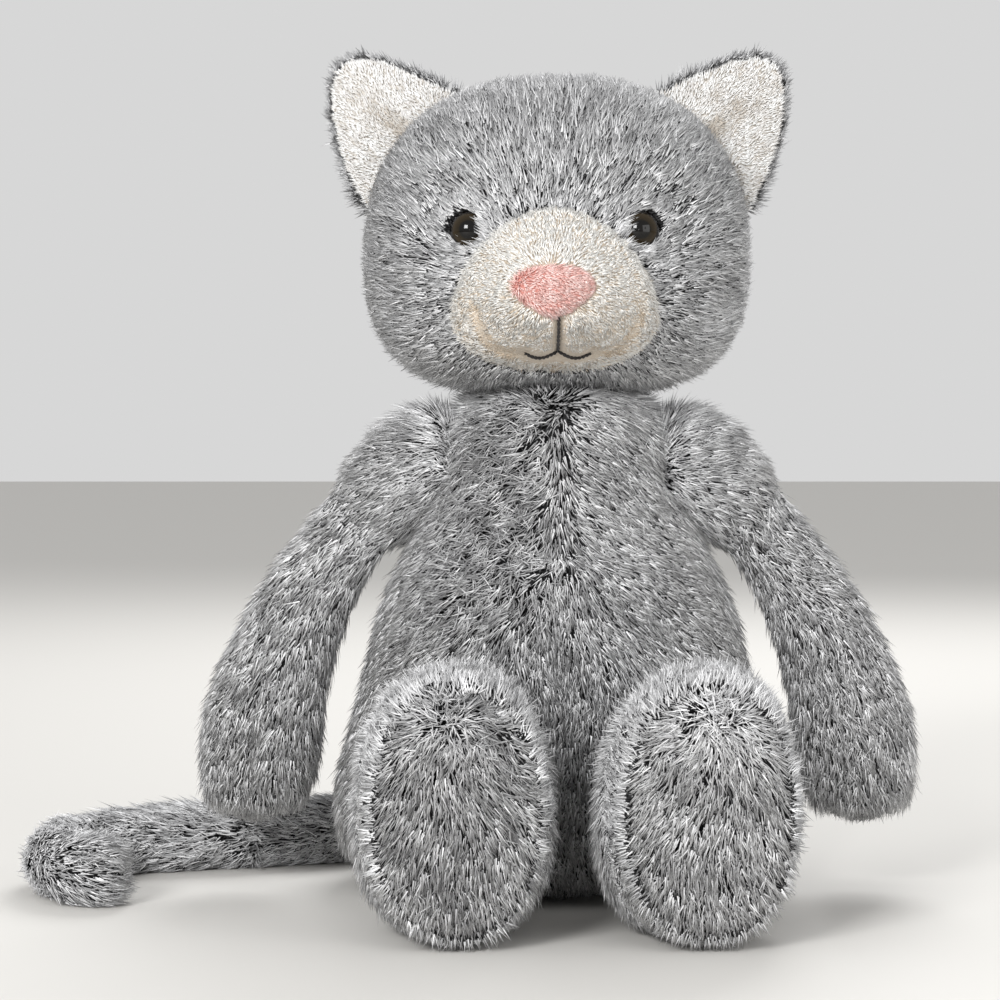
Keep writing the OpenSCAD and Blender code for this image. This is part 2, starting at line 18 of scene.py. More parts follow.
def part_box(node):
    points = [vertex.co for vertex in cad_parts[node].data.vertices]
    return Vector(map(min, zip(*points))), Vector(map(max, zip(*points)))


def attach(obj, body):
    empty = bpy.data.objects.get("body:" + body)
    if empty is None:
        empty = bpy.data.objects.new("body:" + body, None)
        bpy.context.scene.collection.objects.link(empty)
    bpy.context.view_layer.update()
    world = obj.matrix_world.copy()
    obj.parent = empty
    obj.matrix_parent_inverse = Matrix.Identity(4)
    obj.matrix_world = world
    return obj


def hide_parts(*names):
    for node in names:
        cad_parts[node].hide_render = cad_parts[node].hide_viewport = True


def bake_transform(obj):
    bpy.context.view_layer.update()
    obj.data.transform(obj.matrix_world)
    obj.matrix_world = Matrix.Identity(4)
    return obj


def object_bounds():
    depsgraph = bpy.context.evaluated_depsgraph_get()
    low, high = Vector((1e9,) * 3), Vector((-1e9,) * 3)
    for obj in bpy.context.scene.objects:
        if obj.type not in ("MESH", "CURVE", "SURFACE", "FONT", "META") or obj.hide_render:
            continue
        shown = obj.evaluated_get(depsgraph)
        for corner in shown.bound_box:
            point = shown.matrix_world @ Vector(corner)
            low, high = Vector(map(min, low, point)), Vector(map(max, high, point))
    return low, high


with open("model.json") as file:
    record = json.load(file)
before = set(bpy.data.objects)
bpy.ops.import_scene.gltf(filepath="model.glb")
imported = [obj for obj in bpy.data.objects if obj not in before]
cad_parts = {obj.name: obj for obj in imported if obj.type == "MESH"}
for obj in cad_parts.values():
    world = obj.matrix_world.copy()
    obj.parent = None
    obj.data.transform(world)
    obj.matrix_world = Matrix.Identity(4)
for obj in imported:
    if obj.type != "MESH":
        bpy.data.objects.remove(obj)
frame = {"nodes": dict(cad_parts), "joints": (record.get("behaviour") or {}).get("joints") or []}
CAD_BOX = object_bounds()
MM = 0.001
SIDES = (("left", 1.0), ("right", -1.0))

# ---- places, all read from the frame ----------------------------------------


def corners(node):
    lo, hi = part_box(node)
    return np.array(lo) / MM, np.array(hi) / MM


def joint_at(name):
    joint = next(j for j in frame["joints"] if j["name"] == name)
    return np.array(joint["pos_m"]) / MM


nose_lo, nose_hi = corners("nose_pad")
NOSE = (nose_lo + nose_hi) / 2
NOSE[1] = nose_lo[1]
muzzle_lo, muzzle_hi = corners("muzzle_cloth")
thread_lo, thread_hi = corners("mouth_stitching")
EYES = {}
for side, s in SIDES:
    lo, hi = corners(f"eye_{side}")
    EYES[side] = np.array([(lo[0] + hi[0]) / 2, lo[1], (lo[2] + hi[2]) / 2])
EYE_R = (corners("eye_left")[1] - corners("eye_left")[0])[2] / 2
HEAD_LOW = corners("face_left")[0][2]
TORSO_TOP = corners("torso_front_left")[1][2]
SOLES = {side: corners(f"sole_{side}") for side, s in SIDES}
SHOULDERS = {side: joint_at(f"arm_{side}_swing") for side, s in SIDES}
PAW_Z = corners("arm_outer_left")[0][2]
EAR_HINGES = {side: joint_at(f"ear_{side}_flop") for side, s in SIDES}
SHOULDER_Z = SHOULDERS["left"][2]
BELLY_DART = np.array([0.0, corners("torso_front_left")[0][1] + 6, 0.66 * TORSO_TOP])

# ---- small helpers -----------------------------------------------------------


def unit(v):
    return v / np.maximum(np.linalg.norm(v, axis=-1, keepdims=True), 1e-9)


def ramp(x, a, b):
    """0 at a, 1 at b, smooth between."""
    t = np.clip((x - a) / (b - a), 0, 1)
    return t * t * (3 - 2 * t)


def waves(seed, length, count=6):
    """A smooth random vector field with wavelengths about length."""
    rng = np.random.default_rng(seed)
    k = unit(rng.normal(size=(count, 3))) * 2 * math.pi
    k /= length * rng.uniform(0.7, 1.4, (count, 1))
    phase = rng.uniform(0, 2 * math.pi, (count, 3))
    mix = unit(rng.normal(size=(count, 3)))

    def field(p):
        s = p @ k.T
        return sum(
            np.sin(s[:, i : i + 1] + phase[i]) * mix[i] for i in range(count)
        ) / math.sqrt(count / 2)

    return field


def given(value, p):
    """A number, or what it gives at points, as one number for each point."""
    return value(p) if callable(value) else np.full(len(p), float(value))


def coords(mesh):
    co = np.empty(len(mesh.vertices) * 3, np.float32)
    mesh.vertices.foreach_get("co", co)
    return co.reshape(-1, 3).astype(float) / MM


def set_coords(mesh, p):
    mesh.vertices.foreach_set("co", (p * MM).astype(np.float32).ravel())
    mesh.update()


def vertex_normals(mesh):
    n = np.empty(len(mesh.vertices) * 3, np.float32)
    mesh.vertex_normals.foreach_get("vector", n)
    return n.reshape(-1, 3).astype(float)


def triangles(mesh):
    mesh.calc_loop_triangles()
    t = np.empty(len(mesh.loop_triangles) * 3, np.int32)
    mesh.loop_triangles.foreach_get("vertices", t)
    return t.reshape(-1, 3)


def new_object(name, mesh):
    ob = bpy.data.objects.new(name, mesh)
    bpy.context.scene.collection.objects.link(ob)
    return ob


def smooth_shaded(mesh):
    mesh.polygons.foreach_set("use_smooth", np.ones(len(mesh.polygons), bool))
    return mesh


def apply_modifiers(ob):
    bpy.context.view_layer.update()
    dg = bpy.context.evaluated_depsgraph_get()
    made = bpy.data.meshes.new_from_object(ob.evaluated_get(dg))
    old = ob.data
    ob.modifiers.clear()
    ob.data = made
    made.name = ob.name
    if old.users == 0:
        bpy.data.meshes.remove(old)
    return smooth_shaded(made)


# ---- materials ---------------------------------------------------------------


def srgb(r, g, b):
    return [
        *(
            c / 12.92 if c <= 0.04045 else ((c + 0.055) / 1.055) ** 2.4
            for c in (r / 255, g / 255, b / 255)
        ),
        1.0,
    ]


def principled(name, colour, roughness=0.8, sheen=0.0, **values):
    m = bpy.data.materials.new(name)
    m.use_nodes = True
    shader = m.node_tree.nodes["Principled BSDF"]
    shader.inputs["Base Color"].default_value = colour
    shader.inputs["Roughness"].default_value = roughness
    shader.inputs["Sheen Weight"].default_value = sheen
    shader.inputs["Sheen Roughness"].default_value = 0.5
    for key, v in values.items():
        shader.inputs[key.replace("_", " ")].default_value = v
    return m


def woven(name, dark, light, scale, bump, roughness=0.85, sheen=0.2, grain=0.35):
    """Cloth: blotches between two colours, and a fine bump of threads."""
    m = principled(name, light, roughness, sheen)
    nt = m.node_tree
    shader = nt.nodes["Principled BSDF"]
    where = nt.nodes.new("ShaderNodeTexCoord")
    blotch = nt.nodes.new("ShaderNodeTexNoise")
    blotch.inputs["Scale"].default_value = scale
    blotch.inputs["Detail"].default_value = 4
    ramp_node = nt.nodes.new("ShaderNodeValToRGB")
    ramp_node.color_ramp.elements[0].position = 0.5 - grain
    ramp_node.color_ramp.elements[1].position = 0.5 + grain
    ramp_node.color_ramp.elements[0].color = dark
    ramp_node.color_ramp.elements[1].color = light
    fine = nt.nodes.new("ShaderNodeTexNoise")
    fine.inputs["Scale"].default_value = scale * 6
    fine.inputs["Detail"].default_value = 3
    bumped = nt.nodes.new("ShaderNodeBump")
    bumped.inputs["Strength"].default_value = bump
    bumped.inputs["Distance"].default_value = 0.0006
    for texture in (blotch, fine):
        nt.links.new(where.outputs["Object"], texture.inputs["Vector"])
    nt.links.new(blotch.outputs["Fac"], ramp_node.inputs["Fac"])
    nt.links.new(ramp_node.outputs["Color"], shader.inputs["Base Color"])
    nt.links.new(fine.outputs["Fac"], bumped.inputs["Height"])
    nt.links.new(bumped.outputs["Normal"], shader.inputs["Normal"])
    return m


# Pile colours from root to tip
GREY_ROOTS = [srgb(v, v, v + 1) for v in (34, 46, 68)]
GREY_TIPS = [srgb(v, v, v + 1) for v in (134, 174, 212, 242)]
CREAM_ROOTS = [srgb(198, 186, 170), srgb(220, 211, 200)]
# The first, browner cream tip is mostly painted shade, picked in the muzzle's creases and chin cleft
CREAM_TIPS = [srgb(210, 193, 172), srgb(226, 219, 209), srgb(231, 229, 225), srgb(239, 238, 235)]
WHITE_ROOTS = [srgb(188, 181, 172), srgb(216, 212, 206)]
# The first two, darker white tips are mostly painted shade, picked low in the cupped middle of the inner
# ears
WHITE_TIPS = [srgb(200, 192, 182), srgb(222, 219, 215), srgb(234, 232, 230), srgb(243, 243, 242)]
PINK_ROOTS = [srgb(204, 150, 141), srgb(220, 170, 162)]
PINK_TIPS = [srgb(224, 178, 171), srgb(238, 203, 197), srgb(250, 226, 222)]


def pile_shades(name, roots, tips):
    shades = [
        principled(f"{name}_{i}", c, 0.8, Specular_IOR_Level=0.2)
        for i, c in enumerate(roots + tips)
    ]
    return shades, len(roots), len(tips)


GREY = pile_shades("grey_pile", GREY_ROOTS, GREY_TIPS)
EAR_GREY = pile_shades("ear_pile", [srgb(104, 104, 105), srgb(132, 132, 133)], GREY_TIPS[:3])
CREAM = pile_shades("cream_pile", CREAM_ROOTS, CREAM_TIPS)
WHITE = pile_shades("white_pile", WHITE_ROOTS, WHITE_TIPS)
PINK = pile_shades("pink_pile", PINK_ROOTS, PINK_TIPS)
GREY_BACKING = woven("grey_backing", srgb(38, 38, 40), srgb(68, 68, 70), 700, 0.8)
EAR_BACKING = woven("ear_backing", srgb(112, 112, 113), srgb(146, 146, 147), 700, 0.8)
CREAM_BACKING = woven("cream_backing", srgb(196, 180, 160), srgb(224, 212, 196), 900, 0.7)
WHITE_BACKING = woven("white_backing", srgb(206, 199, 190), srgb(229, 225, 219), 900, 0.7)
PINK_BACKING = woven("pink_backing", srgb(214, 138, 126), srgb(230, 162, 151), 1200, 0.7)

# ---- pile: closed tapered tufts ----------------------------------------------

SLOT = {id(GREY): "grey_fur", id(EAR_GREY): "grey_fur", id(CREAM): "cream_plush",
        id(WHITE): "white_plush", id(PINK): "pink_plush"}
FEWER = 1.0
FLOOR = 0.15  # the lowest that pile reaches


def spread(ob, density, rng):
    """Points and normals spread over a mesh, density of them per square mm."""
    p, n, t = coords(ob.data), vertex_normals(ob.data), triangles(ob.data)
    a, b, c = (p[t[:, i]] for i in range(3))
    area = np.linalg.norm(np.cross(b - a, c - a), axis=1) / 2
    each = given(density, (a + b + c) / 3)
    count = np.floor(area * each * FEWER + rng.random(len(t))).astype(int)
    pick = np.repeat(np.arange(len(t)), count)
    u = np.sqrt(rng.random(len(pick)))[:, None]
    v = rng.random(len(pick))[:, None]
    w = (1 - u, u * (1 - v), u * v)
    at = sum(w[i] * p[t[pick, i]] for i in range(3))
    out = unit(sum(w[i] * n[t[pick, i]] for i in range(3)))
    return at, out


def tufts(name, at, out, comb, long, wide, lean, tone, curl, shades, rng):
    """One mesh of closed three-sided tufts. comb is the way the pile is combed,
    lean how far it is combed down, in radians from upright, tone its shade from
    dark (0) to pale (1), and curl how far single tufts swing aside."""
    mats, roots, tips = shades
    n = len(at)
    along = unit(comb - np.sum(comb * out, 1)[:, None] * out)
    across = np.cross(out, along)
    lean = lean[:, None]

    def heading(a, swing):
        return unit(out * np.cos(a) + (along + across * swing) * np.sin(a))

    swing = rng.normal(0, curl, (n, 1))
    low = heading(lean * 0.7, swing)
    high = heading(np.minimum(lean * 1.12, 1.5), swing * rng.uniform(0.2, 1.8, (n, 1)))
    foot = at - out * 0.5
    knee = foot + low * (long * 0.48)[:, None]
    tip = knee + high * (long * 0.56)[:, None]
    co = np.empty((n, 7, 3))
    for ring, centre, ahead, width in ((0, foot, low, 0.8), (1, knee, high, 1.0)):
        side = unit(np.cross(out + along * 1e-3, ahead))
        up = np.cross(ahead, side)
        half = (wide * width / 2)[:, None]
        co[:, ring * 3] = centre + side * half - up * half * 0.35
        co[:, ring * 3 + 1] = centre + up * half * 0.75
        co[:, ring * 3 + 2] = centre - side * half - up * half * 0.35
    co[:, 6] = tip
    co = co.reshape(-1, 3)
    co[:, 2] = np.maximum(co[:, 2], FLOOR + 0.02 * np.tile(np.arange(7), n))
    faces = [(2, 1, 0), (0, 1, 4, 3), (1, 2, 5, 4), (2, 0, 3, 5), (3, 4, 6), (4, 5, 6), (5, 3, 6)]
    loops = np.array([v for f in faces for v in f])
    sizes = np.array([len(f) for f in faces])
    mesh = bpy.data.meshes.new(name)
    mesh.vertices.add(7 * n)
    mesh.loops.add(len(loops) * n)
    mesh.polygons.add(len(faces) * n)
    mesh.vertices.foreach_set("co", (co * MM).astype(np.float32).ravel())
    index = (np.arange(n)[:, None] * 7 + loops).astype(np.int32)
    mesh.loops.foreach_set("vertex_index", index.ravel())
    starts = np.concatenate([[0], np.cumsum(sizes)[:-1]])
    begin = (np.arange(n)[:, None] * len(loops) + starts).astype(np.int32)
    mesh.polygons.foreach_set("loop_start", begin.ravel())
    root = rng.integers(0, roots, n)
    top = roots + (np.clip(tone, 0, 0.999) * tips).astype(int)
    shade = np.stack([root] * 4 + [top] * 3, 1).astype(np.int32)
    mesh.polygons.foreach_set("material_index", shade.ravel())
    mesh.update(calc_edges=True)
    for m in mats:
        mesh.materials.append(m)
    return new_object(name, smooth_shaded(mesh))


def pile(prefix, ob, flow, shades, ride, *, density=3.3, long=7.0, wide=0.4, lean=1.26, longer=1.0,
         mess=0.1, paler=0.0, locks=0.3, curl=0.25, whorls=(), keep=None, parts=None, seed=1):
    rng = np.random.default_rng(seed)
    at, out = spread(ob, density, rng)
    if keep is not None:
        stay = keep(at, out)
        at, out = at[stay], out[stay]
    n = len(at)
    rough = given(mess, at)
    way = unit(flow(at, out))
    ahead = np.sum(way * out, 1)
    comb = way + rough[:, None] * (
        waves(seed + 11, 5.0)(at) * 0.8 + rng.normal(0, 0.55, (n, 3))
    )
    comb += waves(seed + 12, 22.0)(at) * 0.18 + waves(seed + 13, 4.0, 9)(at) * locks
    length = long * np.clip(rng.normal(1, 0.13, n), 0.6, 1.35) * (1 - 0.45 * ramp(ahead, 0.3, 0.95))
    length *= given(longer, at)
    tilt = given(lean, at)
    for point, reach in whorls:  # tufts stand up and cross each other there
        near = ramp(reach - np.linalg.norm(at - point, axis=1), 0, reach * 0.7)
        comb += near[:, None] * rng.normal(0, 1.6, (n, 3))
        tilt = tilt * (1 - 0.3 * near)
    tilt = tilt * (1 - 0.65 * ramp(-ahead, 0.35, 0.95))
    tilt = np.clip(tilt + rng.normal(0, 0.09, n) - 0.35 * rough, 0.1, 1.45)
    thick = wide * np.clip(rng.normal(1, 0.22, n), 0.5, 1.7)
    tone = 0.5 + 0.26 * waves(seed + 14, 3.5, 9)(at)[:, 0] + rng.normal(0, 0.15, n) + given(paler, at)
    part = np.zeros(n, int) if parts is None else parts(at)
    for k in np.unique(part):
        own = part == k
        name = prefix if parts is None else f"{prefix}_{k + 1}"
        piece = tufts(name, at[own], out[own], comb[own], length[own], thick[own], tilt[own],
                      tone[own], curl, shades, rng)
        SLOT[id(shades)]
        if isinstance(ride, str):
            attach(piece, ride)
        else:
            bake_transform(piece)


# ---- skins -------------------------------------------------------------------


def largest_island(mesh):
    """Keeps only the island of faces with the most points."""
    bm = bmesh.new()
    bm.from_mesh(mesh)
    left, best = set(bm.verts), []
    while left:
        stack, island = [left.pop()], []
        while stack:
            v = stack.pop()
            island.append(v)
            for e in v.link_edges:
                w = e.other_vert(v)
                if w in left:
                    left.discard(w)
                    stack.append(w)
        if len(island) > len(best):
            best = island
    inside = set(best)
    bmesh.ops.delete(bm, geom=[v for v in bm.verts if v not in inside], context="VERTS")
    bm.to_mesh(mesh)
    bm.free()


def skin(name, nodes, voxel, inset, rounds=8):
    """A closed skin inset from the outside of the CAD nodes, by a depth in mm or
    by what inset gives at points."""
    bm = bmesh.new()
    for n in nodes:
        bm.from_mesh(frame["nodes"][n].data)
    bmesh.ops.remove_doubles(bm, verts=bm.verts, dist=1e-7)
    mesh = bpy.data.meshes.new(name)
    bm.to_mesh(mesh)
    bm.free()
    ob = new_object(name, mesh)
    solid = ob.modifiers.new("solid", "REMESH")
    solid.mode, solid.voxel_size = "VOXEL", voxel * MM
    apply_modifiers(ob)
    largest_island(ob.data)
    relax = ob.modifiers.new("relax", "SMOOTH")
    relax.factor, relax.iterations = 0.5, rounds
    apply_modifiers(ob)
    p = coords(ob.data)
    set_coords(ob.data, p - vertex_normals(ob.data) * given(inset, p)[:, None])
    return ob


def puffed(ob, pressure=4.0, cap=2.0, frames=20):
    """The stuffing pushes the cloth out: a pressure simulation, with every
    point's movement capped."""
    before = coords(ob.data)
    cloth = ob.modifiers.new("cloth", "CLOTH")
    cloth.settings.use_pressure = True
    cloth.settings.uniform_pressure_force = pressure
    cloth.settings.effector_weights.gravity = 0
    cloth.point_cache.frame_start, cloth.point_cache.frame_end = 1, frames
    for f in range(1, frames + 1):
        bpy.context.scene.frame_set(f)
    apply_modifiers(ob)
    bpy.context.scene.frame_set(1)
    move = coords(ob.data) - before
    size = np.linalg.norm(move, axis=1, keepdims=True)
    move *= np.minimum(size, cap) / np.maximum(size, 1e-9)
    set_coords(ob.data, before + move)
    return ob


def finer(ob, levels=1):
    sub = ob.modifiers.new("finer", "SUBSURF")
    sub.levels = sub.render_levels = levels
    apply_modifiers(ob)
    return ob


def dressed(ob, material, slot, body, *nodes, fill=0.8):
    """Gives a finished skin its material, its body and the nodes it stands for."""
    ob.data.materials.clear()
    ob.data.materials.append(material)
    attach(ob, body)
    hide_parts(*nodes)
    return ob


INSET = 1.6  # from the CAD surface, which is half-way up the pile, to the backing


def shoulder_distance(p):
    return np.minimum(*(np.linalg.norm(p - at, axis=1) for at in SHOULDERS.values()))


# Head

HEAD_NODES = ["face_left", "face_right", "head_back", "head_stuffing"]


def head_inset(p):
    return -0.6 - 0.8 * ramp(HEAD_LOW + 18 - p[:, 2], 0, 15)


head = finer(puffed(skin("head_skin", HEAD_NODES, 4.0, head_inset)))

# Muzzle outline seen from the front, as radii about its middle
MUZZLE_MID = np.array([(muzzle_lo[0] + muzzle_hi[0]) / 2, (2 * muzzle_lo[2] + muzzle_hi[2]) / 3])
muzzle_node = frame["nodes"]["muzzle_cloth"].data
MUZZLE_TREE = BVHTree.FromPolygons(
    [Vector(v) for v in coords(muzzle_node)], [tuple(p.vertices) for p in muzzle_node.polygons]
)
AHEAD = Vector((0, 1, 0))


def front_of(tree, x, z):
    """How far forward a surface stands at x and z, seen from the front."""
    hit = tree.ray_cast(Vector((x, -200, z)), AHEAD)[0]
    return None if hit is None else hit.y


def edge_radius(angle):
    lo, hi = 5.0, 45.0
    for _ in range(18):
        mid = (lo + hi) / 2
        x, z = MUZZLE_MID + mid * np.array([math.cos(angle), math.sin(angle)])
        lo, hi = (mid, hi) if front_of(MUZZLE_TREE, x, z) is not None else (lo, mid)
    return lo


EDGE_STEPS = 96
EDGE = np.array([edge_radius(2 * math.pi * i / EDGE_STEPS) for i in range(EDGE_STEPS)])


def muzzle_rho(p):
    """0 in the middle of the muzzle and 1 at its seam, for points in front."""
    dx, dz = p[:, 0] - MUZZLE_MID[0], p[:, 2] - MUZZLE_MID[1]
    a = np.arctan2(dz, dx) / (2 * math.pi) * EDGE_STEPS % EDGE_STEPS
    i = np.floor(a).astype(int) % EDGE_STEPS
    f = a - np.floor(a)
    r = EDGE[i] * (1 - f) + EDGE[(i + 1) % EDGE_STEPS] * f
    return np.hypot(dx, dz) / r + np.where(p[:, 1] > -15, 9, 0)


def eye_distance(p):
    near = np.minimum(*(np.hypot(p[:, 0] - e[0], p[:, 2] - e[2]) for e in EYES.values()))
    return near + np.where(p[:, 1] > 0, 99, 0)


def over_eye(p):
    """1 beside an eye on the side of the nose, where pile stands over its rim."""
    most = np.zeros(len(p))
    for e in EYES.values():
        off = p[:, [0, 2]] - e[[0, 2]]
        away = unit(e[[0, 2]] - NOSE[[0, 2]])
        near = ramp(8.5 - np.hypot(off[:, 0], off[:, 1]), 0, 3) * ramp(-(off @ away), 1, 4)
        most = np.maximum(most, near * (p[:, 1] < 0))
    return most


def head_flow(p, n):
    away = unit(p - (NOSE + [0, 14, 0]))
    down = np.array([0.0, 0.2, -1.0])
    w = ramp(p[:, 1], -2, 30)[:, None]
    return away * (1 - w) + down * w


def head_density(p):
    front = 3.3 + 3.5 * ramp(EYE_R + 4 - eye_distance(p), 0, 3) + 1.5 * ramp(1.25 - muzzle_rho(p), 0, 0.2)
    return np.where(p[:, 1] > 10, 2.6, front)


def head_length(p):
    short = ramp(eye_distance(p), 4, 13) * ramp(muzzle_rho(p), 0.9, 1.3)
    return 0.6 + 0.4 * short + 0.2 * ramp(HEAD_LOW + 8 - p[:, 2], 0, 8) + 0.05 * over_eye(p)


p = coords(head.data)
rim = np.exp(-(((eye_distance(p) - EYE_R - 0.6) / 1.4) ** 2)) * ramp(muzzle_rho(p), 0.9, 1.1)
set_coords(head.data, p + vertex_normals(head.data) * (1.3 * rim)[:, None])
dressed(head, GREY_BACKING, "grey_fur", "head", *HEAD_NODES, fill=0.95)
pile(
    "head_fur", head, head_flow, GREY, "head", density=head_density, longer=head_length,
    lean=lambda p: 1.15 - 0.2 * over_eye(p),
    keep=lambda p, n: (muzzle_rho(p) > 0.93) & (eye_distance(p) > EYE_R - 0.9),
    parts=lambda p: (p[:, 0] < 0) + 2 * (p[:, 1] > 0) + 4 * (p[:, 2] > HEAD_LOW + 40), seed=21,
)

# Torso

TORSO_NODES = ["torso_front_left", "torso_front_right", "torso_back_left", "torso_back_right",
               "torso_stuffing", "bean_pouch_top", "bean_pouch_bottom", "seat_beans"]


def torso_inset(p):
    """The cloth rises to meet the arms at the tops of the shoulders."""
    r = shoulder_distance(p)
    return INSET * ramp(r, 14, 24) - 3.5 * ramp(23 - r, 0, 7) * ramp(p[:, 2] - SHOULDER_Z, -5, 5)


torso = finer(puffed(skin("torso_skin", TORSO_NODES, 5.0, torso_inset), cap=2.5))
p = coords(torso.data)
seam = np.exp(-((p[:, 0] / 2.2) ** 2)) * ramp(-p[:, 1], 5, 20) * ramp(p[:, 2], 6, 20)
dart = np.exp(-np.sum(((p - BELLY_DART) / [11, 30, 4]) ** 2, 1))
p -= vertex_normals(torso.data) * (0.9 * seam + 1.6 * dart)[:, None]
p[:, 2] = np.maximum(p[:, 2], 1.2)
set_coords(torso.data, p)
dressed(torso, GREY_BACKING, "grey_fur", "torso", *TORSO_NODES, fill=0.8)


def torso_flow(p, n):
    """Down and outwards from the front seam, and out of the dart below it."""
    front = ramp(-p[:, 1], -5, 15)
    by_side = np.where(p[:, 0] > 0, 1.15, 0.75)
    outward = by_side * ramp(np.abs(p[:, 0]), 0, 3) * ramp(TORSO_TOP + 6 - p[:, 2], 0, 22)
    flow = np.stack([np.sign(p[:, 0]) * outward * front, np.zeros(len(p)), -np.ones(len(p))], 1)
    from_dart = p - (BELLY_DART + [0, 0, 6])
    from_dart[:, 1] = 0
    below = ramp(BELLY_DART[2] - p[:, 2], -2, 8) * front
    return flow * (1 - below)[:, None] + unit(from_dart) * (below * 1.4)[:, None]


def tousled(p):
    """1 on the right side of the chest, where the pile is ruffled; its tips there are painted darker, as
    shade between the raised locks.
    """
    high = ramp(p[:, 2] / TORSO_TOP, 0.45, 0.64)
    return ramp(-p[:, 0], -3, 8) * ramp(42 + p[:, 0], 0, 14) * ramp(-p[:, 1], 0, 15) * high


def torso_density(p):
    above = np.where(p[:, 1] > 0, 2.6, 3.3) + ramp(TORSO_TOP - p[:, 2], 22, 0) - 0.9 * tousled(p)
    return np.where(p[:, 2] < 4, 0.6, above)


pile(
    "torso_fur", torso, torso_flow, GREY, "torso", density=torso_density,
    # paler: painted shade, the tips of the ruffled pile are picked darker as if shaded between its locks
    paler=lambda p: -0.15 * tousled(p), mess=lambda p: 0.12 + 0.75 * tousled(p),
    whorls=[(BELLY_DART + [0, -4, 2], 7)],
    parts=lambda p: (p[:, 0] < 0) + 2 * (p[:, 1] > 0) + 4 * (p[:, 2] > 0.45 * TORSO_TOP), seed=31,
)

# Arms


def arm_inset(p):
    by_paw = ramp(PAW_Z + 16 - p[:, 2], 0, 14)
    return 0.8 - 3.2 * ramp(24 - shoulder_distance(p), 0, 10) - 2.0 * by_paw


for side, s in SIDES:
    nodes = [f"arm_outer_{side}", f"arm_inner_{side}", f"arm_stuffing_{side}"]
    arm = finer(puffed(skin(f"arm_skin_{side}", nodes, 3.5, arm_inset), cap=1.5))
    dressed(arm, GREY_BACKING, "grey_fur", f"arm_{side}", *nodes, f"shoulder_wad_{side}", fill=0.8)

    def arm_flow(p, n, s=s):
        """Along the arm, which leans more and more outwards up to the shoulder."""
        a = math.radians(52) * np.clip((p[:, 2] - PAW_Z) / (SHOULDER_Z - PAW_Z), 0, 1)
        a += math.radians(34) * ramp(26 - shoulder_distance(p), 0, 18)
        return np.stack([s * np.sin(a), np.full(len(p), -0.1), -np.cos(a)], 1)

    pile(
        f"arm_fur_{side}", arm, arm_flow, GREY, f"arm_{side}",
        density=lambda p: 3.2 + 1.5 * ramp(22 - shoulder_distance(p), 0, 12),
        parts=lambda p: (p[:, 2] < PAW_Z + 43) + 2 * (p[:, 1] > -3), seed=41 if s > 0 else 42,
    )

# Legs

SOLE_SEAM = 0.9  # the sole's seam runs round at this share of its size


class Foot:
    """Where things are on one foot, and how its pile lies."""

    def __init__(self, side, s):
        lo, hi = SOLES[side]
        self.mid, self.half = (lo + hi) / 2, (hi - lo) / 2
        self.front, self.top = lo[1], hi[2]
        self.whorl = np.array([self.mid[0] + 2 * s, self.front, self.mid[2] + 0.8 * self.half[2]])

    def rho(self, p):
        """0 in the middle of the sole and 1 at its edge."""
        x, z = (np.abs((p[:, i] - self.mid[i]) / self.half[i]) ** 2.3 for i in (0, 2))
        return (x + z) ** (1 / 2.3)

    def round_sole(self, p):
        return (self.rho(p) > SOLE_SEAM) & (p[:, 1] < self.front + 16)

    def by_whorl(self, p, size, drop=0.0):
        return np.exp(-np.sum(((p - self.whorl + [0, 0, drop]) / size) ** 2, 1))

    def flow(self, p, n):
        """Away from the whorl on the sole, and outwards and back round it."""
        on_sole = ((self.rho(p) < SOLE_SEAM) & (p[:, 1] < self.front + 14))[:, None]
        down = unit(p - self.whorl)
        down[:, 2] -= 0.25
        out = p - self.mid
        out[:, 1] = 0
        near = ramp(self.front + 26 - p[:, 1], 0, 14)[:, None]
        cover = (unit(out) + [0, -0.15, 0]) * near + np.array([0, -0.6, -0.8]) * (1 - near)
        return np.where(on_sole, down, cover)

    def lean(self, p):
        return np.where(self.round_sole(p), 1.05 - 0.3 * ramp(p[:, 2] - self.top, -11.5, -1.5), 1.2)

    def longer(self, p):
        in_seam = np.exp(-(((self.rho(p) - SOLE_SEAM) / 0.03) ** 2))
        rim = 0.8 + 0.3 * ramp(p[:, 2] - self.top, -13.5, -3.5)
        return (1 - 0.65 * in_seam) * np.where(self.round_sole(p), rim, 1)

    def density(self, p):
        return np.where(p[:, 1] > self.front + 30, 2.6, 3.2) + 4.5 * self.by_whorl(p, [8, 9, 6])


for side, s in SIDES:
    foot = Foot(side, s)
    nodes = [f"leg_outer_{side}", f"leg_inner_{side}", f"sole_{side}", f"leg_stuffing_{side}"]
    leg = finer(puffed(skin(f"leg_skin_{side}", nodes, 4.0, -0.5), cap=2.0))
    p = coords(leg.data)
    near = ramp(foot.front + 16 - p[:, 1], 0, 6)
    groove = np.exp(-(((foot.rho(p) - SOLE_SEAM) / 0.035) ** 2)) * near
    lip = np.exp(-(((foot.rho(p) - SOLE_SEAM - 0.09) / 0.05) ** 2)) * near
    p += vertex_normals(leg.data) * (1.0 * lip - 1.6 * groove)[:, None]
    p[:, 2] = np.maximum(p[:, 2], 1.2)
    set_coords(leg.data, p)
    dressed(leg, GREY_BACKING, "grey_fur", f"leg_{side}", *nodes, fill=0.85)
    pile(
        f"leg_fur_{side}", leg, foot.flow, GREY, f"leg_{side}", density=foot.density,
        longer=foot.longer, lean=foot.lean, whorls=[(foot.whorl, 7)],
        mess=lambda p, foot=foot: 0.1 + 0.7 * foot.by_whorl(p, [15, 15, 8], drop=5.0),
        parts=lambda p, foot=foot: (p[:, 1] < foot.front + 14) + 2 * (p[:, 2] < foot.mid[2]),
        seed=51 if s > 0 else 52,
    )

# ---- tail --------------------------------------------------------------------

